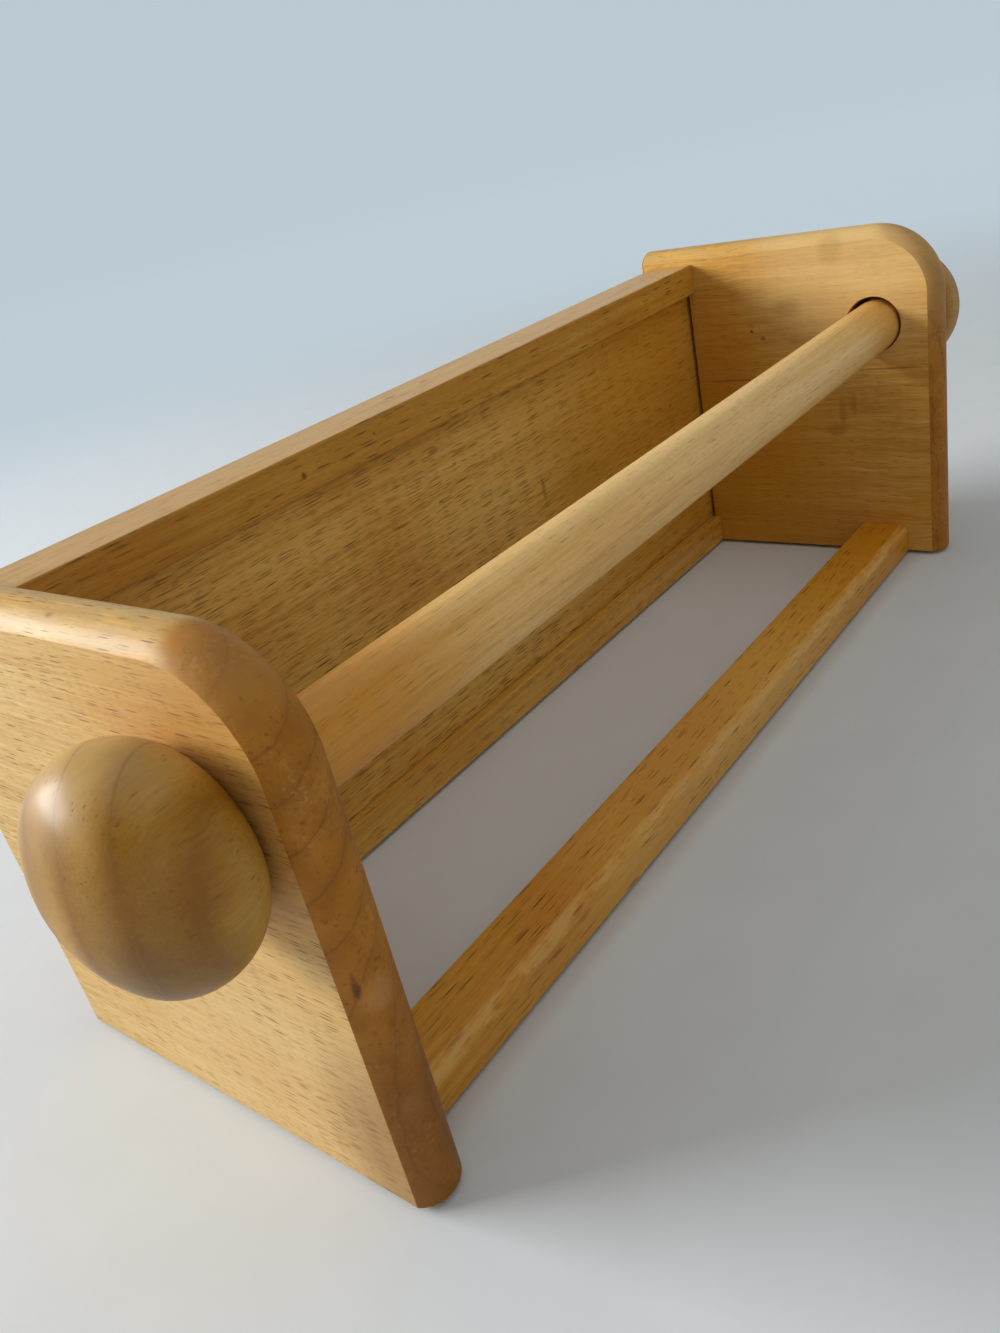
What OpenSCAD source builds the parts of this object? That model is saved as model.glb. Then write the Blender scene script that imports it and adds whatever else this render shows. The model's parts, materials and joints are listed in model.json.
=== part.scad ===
// Wall paper towel holder in wood: two side panels joined by three rails, a thin back panel in
// grooves all round, and a loose rod with a turned knob on each end.
// X runs along the rod, the back is towards +Y and the holder stands on z = 0.

/* [Side panels] */
// Depth of a side panel, from its front edge to the wall
side_depth = 115; // [100:1:140]
// Height of a side panel
side_height = 121; // [112:1:145]
// Thickness of a side panel
side_t = 12.7; // [12:0.1:18]
// Radius of the top front corner, seen from the side
corner_r = 24; // [14:1:34]
// How far the rounded edge reaches in from its crest to the crease on each face
edge_depth = 4; // [2.5:0.1:5.5]

/* [Rails] */
// Clear width between the side panels, for a roll of about 280
inner_width = 300; // [285:1:340]
// Depth of the two back rails
rail_depth = 18; // [16:0.5:24]
// Height of all three rails
rail_height = 11; // [10.5:0.5:14]
// How far the back rails stand in from the wall
rail_inset = 4.5; // [2:0.5:8]
// Drop of the top rail below the tops of the side panels
top_rail_drop = 5.7; // [3:0.1:10]
// Depth of the front rail
front_rail_depth = 17.5; // [16:0.5:24]
// Distance of the front rail behind the side panels' front edges
front_rail_setback = 13; // [10:0.5:20]
// Radius of the front rail's upper front edge
front_rail_round = 3.5; // [1:0.5:5]

/* [Back panel] */
// Thickness of the back panel
panel_t = 5; // [4:0.5:5.5]
// Recess of the back panel behind the back rails' front faces
panel_recess = 4; // [2:0.5:5]
// Depth of the groove in each back rail
groove_depth = 5; // [3:0.5:6.5]
// Play of the back panel's rear face in all its grooves
groove_play = 0.1; // [0.05:0.05:0.3]
// Open joint that the rails' grooves leave in front of the back panel
rail_groove_slack = 0.6; // [0.1:0.1:1]
// Room left between the panel's long edges and the groove bottoms
groove_end_gap = 0.3; // [0.1:0.1:0.8]
// Depth of the groove in each side panel
side_groove_depth = 4; // [3:0.5:4]
// Open slot that the side grooves leave in front of the back panel
side_groove_slack = 1.6; // [0.3:0.1:1.8]
// Room left between the panel's ends and the bottoms of the side grooves
panel_end_gap = 0.5; // [0.2:0.1:1]

/* [Rod] */
// Diameter of the rod
rod_d = 18; // [16:0.5:22]
// Bore radius beyond the rod radius
bore_play = 0.9; // [0.4:0.1:1.5]
// Bore centre behind the side panels' front edges
bore_setback = 23.3; // [20:0.1:30]
// Bore centre above the base
bore_height = 87.5; // [78:0.5:92]
// Running gap between the rod and the bottom of its bores
running_gap = 0.1; // [0.05:0.05:0.3]
// Diameter of the tenon turned on each end of the rod
tenon_d = 12; // [8:0.5:14]
// Length of each tenon
tenon_len = 14; // [8:0.5:16]
// Radial clearance of a tenon in its knob
tenon_play = 0.05; // [0.02:0.01:0.1]

/* [Knobs] */
// Largest diameter of a knob
knob_d = 44.4; // [40:0.2:50]
// Length of a knob along the rod
knob_len = 27.8; // [26:0.1:34]
// Radius of the rounded rim of a knob
knob_rim_r = 12.7; // [10:0.1:13]
// Height of the widest place above the knob's base
knob_rim_height = 12.4; // [9:0.1:12.6]
// Gap between a knob's base and its side panel
knob_gap = 0.4; // [0.2:0.1:2]
// Gap between the rod's shoulder and a knob's base
shoulder_gap = 0.1; // [0.05:0.05:0.3]
// Room left at the end of every blind hole
hole_end_gap = 0.5; // [0.2:0.1:1]

/* [Dowels] */
// Diameter of the single dowel in each end of the back rails
rail_dowel_d = 6; // [5:0.5:6]
// Diameter of the paired dowels in the front rail's ends
front_dowel_d = 5; // [4:0.5:6]
// Spacing of the paired dowels
front_dowel_spacing = 8.4; // [7:0.1:9]
// Length of every dowel
dowel_len = 20; // [16:1:26]
// How far every dowel reaches into a side panel
dowel_in_side = 8; // [6:0.5:9]
// Radial glue clearance round every dowel
dowel_play = 0.05; // [0.02:0.01:0.1]

/* [Keyhole plates] */
// Width of a keyhole plate let into a side panel's rear edge
plate_w = 11; // [10:0.1:11.4]
// Height of a keyhole plate
plate_h = 42; // [40:1:48]
// Thickness of a keyhole plate
plate_t = 1.5; // [1:0.1:2]
// Fitting gap round a keyhole plate
plate_play = 0.05; // [0.02:0.01:0.15]
// Drop of a keyhole plate's top below the top rail's underside
plate_drop = 4; // [3:0.5:30]
// Diameter of the entry hole for a wall screw's head
entry_d = 8.5; // [7:0.1:9]
// Width of the slot for a wall screw's neck
neck_w = 4.4; // [3.5:0.1:5]
// Rise from the entry hole to the top seat of the slot
neck_rise = 11; // [8:0.5:12]
// Room for the screw head round the entry hole in the pocket behind the plate
pocket_play = 0.4; // [0.2:0.1:0.7]
// Depth of the routed pocket behind the plate
pocket_depth = 6.5; // [5:0.5:9]
// Diameter of a plate screw's shank
screw_d = 2.4; // [2:0.1:2.8]
// Diameter of a plate screw's countersunk head
screw_head_d = 4.6; // [4:0.1:5]
// Length of a plate screw, head included
screw_len = 12; // [9:0.5:16]
// Distance of a plate screw from the end of its plate
screw_margin = 4; // [3:0.1:4.5]
// Gap round a plate screw
screw_play = 0.03; // [0.02:0.01:0.08]

/* [Hidden] */
$fn = 96;
// Overshoot of a cut past the face it opens
cut = 1;

// Planes of the frame
front_y = -side_depth / 2;
wall_y = side_depth / 2;
inner_x = inner_width / 2;
outer_x = inner_x + side_t;

// Radius of the single arc that runs from crease to crease over a panel's edge
edge_r = (pow(side_t / 2, 2) + pow(edge_depth, 2)) / (2 * edge_depth);

// Back rails and the panel between them
rail_front_y = wall_y - rail_inset - rail_depth;
top_rail_z = side_height - top_rail_drop - rail_height;
panel_front_y = rail_front_y + panel_recess;
panel_low_z = rail_height - groove_depth + groove_end_gap;
panel_high_z = top_rail_z + groove_depth - groove_end_gap;
groove_rear_y = panel_front_y + panel_t + groove_play;
rail_dowel_y = (groove_rear_y + rail_front_y + rail_depth) / 2;
front_rail_y = front_y + front_rail_setback;

// The rod lies on the bottom of its bores
bore_r = rod_d / 2 + bore_play;
rod_y = front_y + bore_setback;
rod_z = bore_height - bore_play + running_gap;
knob_base_x = outer_x + knob_gap;
rod_end_x = knob_base_x - shoulder_gap;

// A knob's dome is the arc that meets its rim smoothly
rim_centre = knob_d / 2 - knob_rim_r;
dome_rise = knob_len - knob_rim_height;
dome_r = (pow(rim_centre, 2) + pow(dome_rise, 2) - pow(knob_rim_r, 2)) / (2 * (dome_rise - knob_rim_r));
dome_centre = knob_len - dome_r;

// Keyhole plates stand on the middle line of each side panel's rear edge
plate_x = inner_x + side_t / 2;
plate_z = top_rail_z - plate_drop - plate_h / 2;
entry_z = plate_z - neck_rise / 2;
pocket_w = entry_d + 2 * pocket_play;
screw_offset = plate_h / 2 - screw_margin;
screw_head_len = (screw_head_d - screw_d) / 2;

// Wood colours
side_colour = [0.82, 0.64, 0.40];
rail_colour = [0.76, 0.58, 0.36];
front_rail_colour = [0.70, 0.47, 0.22];
panel_colour = [0.62, 0.45, 0.25];
rod_colour = [0.80, 0.64, 0.42];
knob_colour = [0.74, 0.58, 0.34];
dowel_colour = [0.85, 0.70, 0.48];
steel_colour = [0.72, 0.72, 0.70];

module left_and_right() {
    children();
    mirror([1, 0, 0]) children();
}

module along_x(x, y, z) {
    translate([x, y, z]) rotate([0, 90, 0]) children();
}

// A flat bar with round ends, standing on its edge: outline in X and Z, thickness towards +Y
module round_bar(width, height, thickness) {
    rotate([-90, 0, 0]) linear_extrude(thickness) {
        square([width, height - width], center = true);
        for (end = [-1, 1]) translate([0, end * (height - width) / 2]) circle(d = width);
    }
}

// Section of a panel's edge: thickness along X, the crest at zero and the wood towards +Y
module edge_section() {
    intersection() {
        translate([side_t / 2, edge_r]) circle(edge_r);
        square([side_t, edge_r]);
    }
}

// The same section turned round the top front corner
module corner_section() {
    translate([corner_r, 0]) rotate(90) edge_section();
}

// Outline of a side panel's flat core, which ends inside the edge section, behind the creases:
// depth along X and height along Y
module core_outline() {
    inset = (edge_depth + edge_r) / 2;
    translate([corner_r, 0]) square([side_depth - corner_r, side_height - inset]);
    translate([inset, 0]) square([side_depth - inset, side_height - corner_r]);
    translate([corner_r, side_height - corner_r]) circle(corner_r - inset);
}

module side_blank() {
    translate([0, front_y, 0]) rotate([90, 0, 90]) linear_extrude(side_t) core_outline();
    translate([0, front_y, 0]) linear_extrude(side_height - corner_r) edge_section();
    translate([0, front_y + corner_r, side_height]) rotate([-90, 0, 0])
        linear_extrude(side_depth - corner_r) edge_section();
    translate([0, front_y + corner_r, side_height - corner_r]) rotate([180, 0, 0]) rotate([0, 90, 0])
        rotate_extrude(angle = 90) corner_section();
}

// Holes that the dowels of every rail take in a side panel
module side_dowel_holes() {
    depth = dowel_in_side + hole_end_gap;
    for (z = [rail_height / 2, top_rail_z + rail_height / 2])
        along_x(inner_x - cut, rail_dowel_y, z)
            cylinder(h = depth + cut, d = rail_dowel_d + 2 * dowel_play);
    for (side = [-1, 1])
        along_x(inner_x - cut, front_dowel_y(side), rail_height / 2)
            cylinder(h = depth + cut, d = front_dowel_d + 2 * dowel_play);
}

function front_dowel_y(side) = front_rail_y + front_rail_depth / 2 + side * front_dowel_spacing / 2;

// Groove for an end of the back panel, stopped where the rails' grooves end
module side_groove() {
    low_z = rail_height - groove_depth;
    translate([inner_x - cut, panel_front_y - side_groove_slack, low_z])
        cube([side_groove_depth + cut, groove_rear_y - panel_front_y + side_groove_slack,
            top_rail_z + groove_depth - low_z]);
}

// Recess for a keyhole plate, the pocket behind it and the pilot holes of its screws
module plate_recess() {
    recess_y = wall_y - plate_t - plate_play;
    translate([plate_x, recess_y, plate_z])
        round_bar(plate_w + 2 * plate_play, plate_h + 2 * plate_play, plate_t + plate_play + cut);
    translate([plate_x, recess_y - pocket_depth, plate_z])
        round_bar(pocket_w, pocket_w + neck_rise, pocket_depth + cut);
    for (side = [-1, 1])
        translate([plate_x, wall_y - screw_len - hole_end_gap, plate_z + side * screw_offset])
            rotate([-90, 0, 0]) cylinder(h = screw_len, d = screw_d + 2 * screw_play);
}

module side_panel() {
    difference() {
        translate([inner_x, 0, 0]) side_blank();
        along_x(inner_x - cut, rod_y, bore_height) cylinder(h = side_t + 2 * cut, r = bore_r);
        side_dowel_holes();
        side_groove();
        plate_recess();
    }
}

module left_side_panel() {
    color(side_colour) mirror([1, 0, 0]) side_panel();
}

module right_side_panel() {
    color(side_colour) side_panel();
}

// A back rail: groove_side is 1 for a groove in its top and -1 for one in its underside
module back_rail(z, groove_side) {
    groove_z = groove_side > 0 ? z + rail_height - groove_depth : z - cut;
    hole_depth = dowel_len - dowel_in_side + hole_end_gap;
    difference() {
        translate([-inner_x, rail_front_y, z]) cube([inner_width, rail_depth, rail_height]);
        translate([-inner_x - cut, panel_front_y - rail_groove_slack, groove_z])
            cube([inner_width + 2 * cut, groove_rear_y - panel_front_y + rail_groove_slack,
                groove_depth + cut]);
        left_and_right() along_x(inner_x - hole_depth, rail_dowel_y, z + rail_height / 2)
            cylinder(h = hole_depth + cut, d = rail_dowel_d + 2 * dowel_play);
    }
}

module top_rail() {
    color(rail_colour) back_rail(top_rail_z, -1);
}

module bottom_rail() {
    color(rail_colour) back_rail(0, 1);
}

// Section of the front rail: depth along X from its front face, height along Y
module front_rail_section() {
    translate([front_rail_round, 0]) square([front_rail_depth - front_rail_round, rail_height]);
    square([front_rail_depth, rail_height - front_rail_round]);
    translate([front_rail_round, rail_height - front_rail_round]) circle(front_rail_round);
}

module front_rail() {
    hole_depth = dowel_len - dowel_in_side + hole_end_gap;
    color(front_rail_colour) difference() {
        translate([-inner_x, front_rail_y, 0]) rotate([90, 0, 90])
            linear_extrude(inner_width) front_rail_section();
        left_and_right() for (side = [-1, 1])
            along_x(inner_x - hole_depth, front_dowel_y(side), rail_height / 2)
                cylinder(h = hole_depth + cut, d = front_dowel_d + 2 * dowel_play);
    }
}

module back_panel() {
    panel_len = inner_width + 2 * (side_groove_depth - panel_end_gap);
    color(panel_colour) translate([-panel_len / 2, panel_front_y, panel_low_z])
        cube([panel_len, panel_t, panel_high_z - panel_low_z]);
}

// One dowel across each joint, seen from the middle of the holder outwards
module rail_dowels(diameter, y, z) {
    left_and_right() along_x(inner_x + dowel_in_side - dowel_len, y, z)
        cylinder(h = dowel_len, d = diameter);
}

module top_rail_dowels() {
    color(dowel_colour) rail_dowels(rail_dowel_d, rail_dowel_y, top_rail_z + rail_height / 2);
}

module bottom_rail_dowels() {
    color(dowel_colour) rail_dowels(rail_dowel_d, rail_dowel_y, rail_height / 2);
}

module front_rail_dowels() {
    color(dowel_colour) for (side = [-1, 1])
        rail_dowels(front_dowel_d, front_dowel_y(side), rail_height / 2);
}

module roller_rod() {
    color(rod_colour) {
        along_x(-rod_end_x, rod_y, rod_z) cylinder(h = 2 * rod_end_x, d = rod_d);
        left_and_right() along_x(rod_end_x - cut, rod_y, rod_z)
            cylinder(h = tenon_len + cut, d = tenon_d);
    }
}

// Half section of a knob: radius along X, height above its base along Y
module knob_section() {
    join = atan2(knob_rim_height - dome_centre, rim_centre);
    intersection() {
        union() {
            translate([rim_centre, knob_rim_height]) circle(knob_rim_r);
            square([rim_centre, knob_rim_height]);
            intersection() {
                translate([0, dome_centre]) circle(dome_r);
                polygon([
                    [0, dome_centre],
                    [2 * dome_r * cos(join), dome_centre + 2 * dome_r * sin(join)],
                    [0, dome_centre + 2 * dome_r * sin(join)]
                ]);
                square([knob_d, knob_len]);
            }
        }
        square([knob_d, knob_len]);
    }
}

module knob() {
    along_x(knob_base_x, rod_y, rod_z) difference() {
        rotate_extrude() knob_section();
        translate([0, 0, -cut])
            cylinder(h = tenon_len + hole_end_gap + cut, d = tenon_d + 2 * tenon_play);
    }
}

module left_knob() {
    color(knob_colour) mirror([1, 0, 0]) knob();
}

module right_knob() {
    color(knob_colour) knob();
}

// Keyhole plate in the rear edge of the right panel, its outer face flush with the wall
module keyhole_plate() {
    difference() {
        translate([plate_x, wall_y - plate_t, plate_z]) round_bar(plate_w, plate_h, plate_t);
        translate([plate_x, wall_y - plate_t - cut, entry_z]) rotate([-90, 0, 0])
            cylinder(h = plate_t + 2 * cut, d = entry_d);
        translate([plate_x, wall_y - plate_t - cut, entry_z + neck_rise / 2])
            round_bar(neck_w, neck_rise + neck_w, plate_t + 2 * cut);
        for (side = [-1, 1]) translate([plate_x, wall_y, plate_z + side * screw_offset])
            rotate([90, 0, 0]) screw_shape(screw_play);
    }
}

module left_keyhole_plate() {
    color(steel_colour) mirror([1, 0, 0]) keyhole_plate();
}

module right_keyhole_plate() {
    color(steel_colour) keyhole_plate();
}

// A countersunk screw pointing along +Z with its head's face at zero, grown by a gap all round
module screw_shape(gap) {
    shank_d = screw_d + 2 * gap;
    translate([0, 0, -gap])
        cylinder(h = screw_head_len + gap, d1 = screw_head_d + 2 * gap, d2 = shank_d);
    cylinder(h = screw_len, d = shank_d);
}

module plate_screw() {
    slot_w = screw_d / 3;
    slot_depth = screw_head_len / 2;
    difference() {
        screw_shape(0);
        translate([-screw_head_d, -slot_w / 2, -cut]) cube([2 * screw_head_d, slot_w, slot_depth + cut]);
    }
}

module keyhole_plate_screws() {
    color(steel_colour) left_and_right() for (side = [-1, 1])
        translate([plate_x, wall_y, plate_z + side * screw_offset]) rotate([90, 0, 0]) plate_screw();
}

left_side_panel();
right_side_panel();
top_rail();
bottom_rail();
front_rail();
back_panel();
top_rail_dowels();
bottom_rail_dowels();
front_rail_dowels();
roller_rod();
left_knob();
right_knob();
left_keyhole_plate();
right_keyhole_plate();
keyhole_plate_screws();
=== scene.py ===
import json
import math

import bmesh
import bpy
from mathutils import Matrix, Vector

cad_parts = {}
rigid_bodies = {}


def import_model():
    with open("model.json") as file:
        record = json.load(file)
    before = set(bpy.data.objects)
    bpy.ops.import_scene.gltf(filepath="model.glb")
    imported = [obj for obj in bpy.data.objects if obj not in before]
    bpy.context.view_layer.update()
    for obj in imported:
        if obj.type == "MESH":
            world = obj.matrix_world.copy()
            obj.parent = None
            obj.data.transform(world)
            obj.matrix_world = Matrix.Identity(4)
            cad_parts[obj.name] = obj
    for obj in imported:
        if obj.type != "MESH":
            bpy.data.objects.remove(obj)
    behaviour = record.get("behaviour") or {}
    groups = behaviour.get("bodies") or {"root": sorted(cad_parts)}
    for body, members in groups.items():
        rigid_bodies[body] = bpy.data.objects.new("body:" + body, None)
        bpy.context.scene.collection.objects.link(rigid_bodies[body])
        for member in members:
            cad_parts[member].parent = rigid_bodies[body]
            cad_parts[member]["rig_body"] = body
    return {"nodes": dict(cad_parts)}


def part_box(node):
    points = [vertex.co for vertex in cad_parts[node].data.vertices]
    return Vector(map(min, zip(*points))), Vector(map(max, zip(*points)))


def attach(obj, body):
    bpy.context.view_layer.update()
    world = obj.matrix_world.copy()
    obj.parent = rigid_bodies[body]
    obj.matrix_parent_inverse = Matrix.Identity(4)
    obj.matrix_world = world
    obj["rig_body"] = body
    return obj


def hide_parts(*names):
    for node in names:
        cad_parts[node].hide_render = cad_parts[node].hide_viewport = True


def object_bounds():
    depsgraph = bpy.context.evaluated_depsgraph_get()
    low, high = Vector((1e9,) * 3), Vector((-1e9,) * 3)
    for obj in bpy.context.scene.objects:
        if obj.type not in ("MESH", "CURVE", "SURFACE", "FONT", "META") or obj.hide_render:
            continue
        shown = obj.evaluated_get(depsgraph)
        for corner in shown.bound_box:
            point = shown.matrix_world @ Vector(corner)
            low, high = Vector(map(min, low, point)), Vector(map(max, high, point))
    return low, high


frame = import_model()
cadLow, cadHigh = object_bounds()
scene = bpy.context.scene
mm = 0.001
hair = 0.02 * mm  # tolerance when parts of a mesh are picked by their place
weld = hair / 4   # points nearer than this become one
aligned = 0.999   # share of an edge or a normal along an axis that counts as parallel to it
print("frame loaded,", len(frame["nodes"]), "nodes")


# Camera at the photograph's viewing angle, tilted a little, above the near end
cameraView = {
    "spot": (-237.3 * mm, -174.3 * mm, 177.1 * mm),
    "aim": (-6.5 * mm, 37.4 * mm, 20.9 * mm),
    "roll": -13.06,  # degrees
    "lens": 28.49,
    "sensor": 36.0,
}


def placeCamera():
    bpy.ops.object.camera_add(location=cameraView["spot"])
    camera = bpy.context.object
    camera.name = "photoCamera"
    camera.data.sensor_width = cameraView["sensor"]
    camera.data.lens = cameraView["lens"]
    camera.data.clip_start = 1 * mm
    gaze = Vector(cameraView["aim"]) - Vector(cameraView["spot"])
    camera.rotation_euler = gaze.to_track_quat("-Z", "Y").to_euler()
    camera.rotation_euler.rotate_axis("Z", math.radians(cameraView["roll"]))
    scene.camera = camera


placeCamera()
print("camera placed")


# Tools for modelling by hand: select, pick by place, cut, ease, finish
def near(a, b):
    return abs(a - b) < hair


def selectNone():
    bpy.ops.object.select_all(action="DESELECT")


def alone(piece):
    selectNone()
    piece.select_set(True)
    bpy.context.view_layer.objects.active = piece


def edit(piece):
    alone(piece)
    bpy.ops.object.mode_set(mode="EDIT")
    bpy.ops.mesh.select_mode(type="VERT")
    bpy.ops.mesh.select_all(action="SELECT")


def endEdit():
    bpy.ops.object.mode_set(mode="OBJECT")


# kind is VERT, EDGE or FACE, and test looks at one of them
def pick(kind, test):
    bpy.ops.mesh.select_mode(type=kind)
    bpy.ops.mesh.select_all(action="DESELECT")
    data = bpy.context.edit_object.data
    shape = bmesh.from_edit_mesh(data)
    parts = {"VERT": shape.verts, "EDGE": shape.edges, "FACE": shape.faces}[kind]
    for part in parts:
        if test(part):
            part.select_set(True)
    shape.select_flush_mode()
    bmesh.update_edit_mesh(data)


# An edge lies in a plane across an axis when both its ends do
def edgeAt(axis, place):
    return lambda edge: all(near(end.co[axis], place) for end in edge.verts)


def edgeAlong(edge, axis):
    step = edge.verts[1].co - edge.verts[0].co
    return abs(step[axis]) > aligned * step.length


def pull(x=0.0, y=0.0, z=0.0):
    bpy.ops.mesh.extrude_region_move(TRANSFORM_OT_translate={"value": (x, y, z)})


def ease(width, steps=3):
    bpy.ops.mesh.bevel(offset=width, segments=steps, affect="EDGES", clamp_overlap=False)


# Names the active piece and puts its place, turn and size into its mesh
def settle(name):
    piece = bpy.context.object
    piece.name = name
    bpy.ops.object.transform_apply(location=True, rotation=True, scale=True)
    return piece


# One point, in edit mode, from which an outline is drawn
def startPoint(name, place):
    selectNone()
    bpy.ops.mesh.primitive_plane_add(size=mm, location=place)
    piece = settle(name)
    edit(piece)
    bpy.ops.mesh.merge(type="CENTER")
    return piece


def startBlock(name, low, high):
    selectNone()
    bpy.ops.mesh.primitive_cube_add(size=1, location=(Vector(low) + Vector(high)) / 2)
    bpy.context.object.scale = Vector(high) - Vector(low)
    return settle(name)


# A round bar along X or Y, from one end plane to the other
def startRound(name, axis, start, end, centre, radius, sides):
    place = Vector(centre)
    place["XYZ".index(axis)] = (start + end) / 2
    turn = {"X": (0, math.pi / 2, 0), "Y": (math.pi / 2, 0, 0)}[axis]
    selectNone()
    bpy.ops.mesh.primitive_cylinder_add(
        vertices=sides, radius=radius, depth=abs(end - start), location=place, rotation=turn)
    return settle(name)


# A flat bar with round ends standing upright, its thickness along Y
def startRoundEnded(name, centre, width, height, front, back):
    x, z = centre
    bar = startBlock(
        name, (x - width / 2, front, z - height / 2), (x + width / 2, back, z + height / 2))
    edit(bar)
    pick("EDGE", lambda edge: edgeAlong(edge, 1))
    ease(width / 2 - hair, steps=16)
    bpy.ops.mesh.remove_doubles(threshold=2 * hair)
    endEdit()
    return bar


def cutAway(piece, cutter):
    cut = piece.modifiers.new("cut", "BOOLEAN")
    cut.operation = "DIFFERENCE"
    cut.solver = "EXACT"
    cut.object = cutter
    alone(piece)
    bpy.ops.object.modifier_apply(modifier=cut.name)
    bpy.data.objects.remove(cutter)


# Turns the outline drawn so far once round, and closes its seam and poles
def spinRound(centre, axis, steps, gap=weld):
    bpy.ops.mesh.select_all(action="SELECT")
    bpy.ops.mesh.spin(steps=steps, angle=2 * math.pi, use_auto_merge=True, center=centre, axis=axis)
    bpy.ops.mesh.select_all(action="SELECT")
    bpy.ops.mesh.remove_doubles(threshold=gap)


def faceOutwards():
    bpy.ops.mesh.select_all(action="SELECT")
    bpy.ops.mesh.normals_make_consistent(inside=False)


def copyMirrored(piece, name):
    alone(piece)
    bpy.ops.object.duplicate()
    bpy.context.object.scale.x = -1
    twin = settle(name)
    edit(twin)
    faceOutwards()
    endEdit()
    return twin


smoothAngle = 38  # degrees


# Smooth shading that leaves the flat faces flat
def smoothOff(piece):
    alone(piece)
    bpy.ops.object.shade_smooth_by_angle(angle=math.radians(smoothAngle))
    even = piece.modifiers.new("evenNormals", "WEIGHTED_NORMAL")
    even.keep_sharp = True
    bpy.ops.object.modifier_apply(modifier=even.name)


def dress(piece, node, finish):
    smoothOff(piece)
    piece.data.materials.clear()
    piece.data.materials.append(finish)
    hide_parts(node)
    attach(piece, frame["nodes"][node]["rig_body"])


# Tools for finishes: colours are written as they look on a screen, 0 to 255
def tint(red, green, blue):
    def light(level):  # the sRGB curve
        level /= 255
        return level / 12.92 if level <= 0.04045 else ((level + 0.055) / 1.055) ** 2.4
    return (light(red), light(green), light(blue), 1.0)


poreForm = {
    "crowding": 0.9,  # how much a crowd adds to the chance of a pore
    "fading": 0.1,    # pores fade in over this much chance
    "core": 0.45,     # share of a pore that is fully dark
    "faintest": 0.4,  # the palest pore beside the darkest
}
spotForm = {
    "rim": 2 * mm,    # raggedness at most
    "core": 0.3,      # share of a spot that has its full colour
}


class Finish:
    def __init__(self, name):
        self.material = bpy.data.materials.new(name)
        self.material.use_nodes = True
        self.tree = self.material.node_tree
        self.tree.nodes.clear()
        self.place = self.put("ShaderNodeTexCoord", {})
        self.surface = self.put("ShaderNodeBsdfPrincipled", {})
        self.put("ShaderNodeOutputMaterial", {"Surface": self.surface.outputs["BSDF"]})

    # A node with its sockets set to values or linked to other sockets
    def put(self, kind, sockets, **settings):
        node = self.tree.nodes.new(kind)
        for key, value in settings.items():
            setattr(node, key, value)
        self.fill(node, sockets)
        return node

    def fill(self, node, sockets):
        for key, value in sockets.items():
            if isinstance(value, bpy.types.NodeSocket):
                self.tree.links.new(value, node.inputs[key])
            else:
                node.inputs[key].default_value = value

    def calc(self, operation, *values):
        return self.put("ShaderNodeMath", dict(enumerate(values)), operation=operation).outputs[0]

    def vector(self, operation, *values, result="Vector"):
        node = self.put("ShaderNodeVectorMath", dict(enumerate(values)), operation=operation)
        return node.outputs[result]

    # A length or a dot product
    def reach(self, operation, *values):
        return self.vector(operation, *values, result="Value")

    def noise(self, place, detail=2.0, rough=0.5, scale=1.0):
        return self.put("ShaderNodeTexNoise", {
            "Vector": place, "Scale": scale, "Detail": detail, "Roughness": rough})

    # Noise about zero, as a vector
    def sway(self, place, scale=1.0):
        noise = self.noise(place, scale=scale)
        return self.vector("SUBTRACT", noise.outputs["Color"], (0.5, 0.5, 0.5))

    # Noise about zero along the grain, its features as long and wide as given
    def streak(self, grain, length, width, detail=2.0, rough=0.5):
        noise = self.noise(self.vector("DIVIDE", grain, (length, width, width)), detail, rough)
        return self.calc("SUBTRACT", noise.outputs[0], 0.5)

    # Maps a span of values to another, with soft ends
    def spread(self, value, low, high, toLow=0.0, toHigh=1.0):
        return self.put("ShaderNodeMapRange", {
            "Value": value, 1: low, 2: high, 3: toLow, 4: toHigh},
            interpolation_type="SMOOTHSTEP").outputs[0]

    def ramp(self, value, stops, colours):
        node = self.put("ShaderNodeValToRGB", {"Fac": value})
        points = node.color_ramp.elements
        while len(points) < len(stops):
            points.new(0.5)
        for point, stop, colour in zip(points, stops, colours):
            point.position = stop
            point.color = colour
        return node.outputs["Color"]

    def bump(self, height, strength, depth):
        node = self.put("ShaderNodeBump", {"Height": height, "Strength": strength, "Distance": depth})
        return node.outputs[0]

    # On a colour mix, inputs 0, 6 and 7 are the share and the two colours
    def mix(self, share, first, second, mode="MIX"):
        node = self.put(
            "ShaderNodeMix", {0: share, 6: first, 7: second}, data_type="RGBA", blend_type=mode)
        return node.outputs[2]

    # Short dark pores along the grain, in crowds: one in each cell that chance picks
    def pores(self, grain, crowd, cell, share, size):
        cells = self.put("ShaderNodeTexVoronoi", {
            "Vector": self.vector("DIVIDE", grain, cell), "Scale": 1.0, "Randomness": 1.0})
        chance = self.put("ShaderNodeSeparateColor", {"Color": cells.outputs["Color"]})
        wanted = self.calc("MULTIPLY_ADD", crowd, poreForm["crowding"], chance.outputs[0])
        present = self.spread(wanted, 1 - share, 1 - share + poreForm["fading"])
        pore = self.spread(cells.outputs["Distance"], poreForm["core"] * size, size, 1.0, 0.0)
        depth = self.spread(chance.outputs[1], 0.0, 1.0, poreForm["faintest"], 1.0)
        return self.calc("MULTIPLY", self.calc("MULTIPLY", pore, present), depth)

    # A soft spot with a ragged rim about a place on the piece
    def spot(self, mark, ragged):
        offset = self.vector("SUBTRACT", self.place.outputs["Object"], mark["at"])
        radius = mark["radius"]
        rim = min(radius, spotForm["rim"])
        offset = self.vector("MULTIPLY_ADD", ragged, (rim, rim, rim), offset)
        offset = self.vector("MULTIPLY", offset, mark["squash"])
        out = self.reach("LENGTH", offset)
        share = self.spread(out, spotForm["core"] * radius, radius, 1.0, 0.0)
        return self.calc("MULTIPLY", share, mark["show"])


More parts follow.
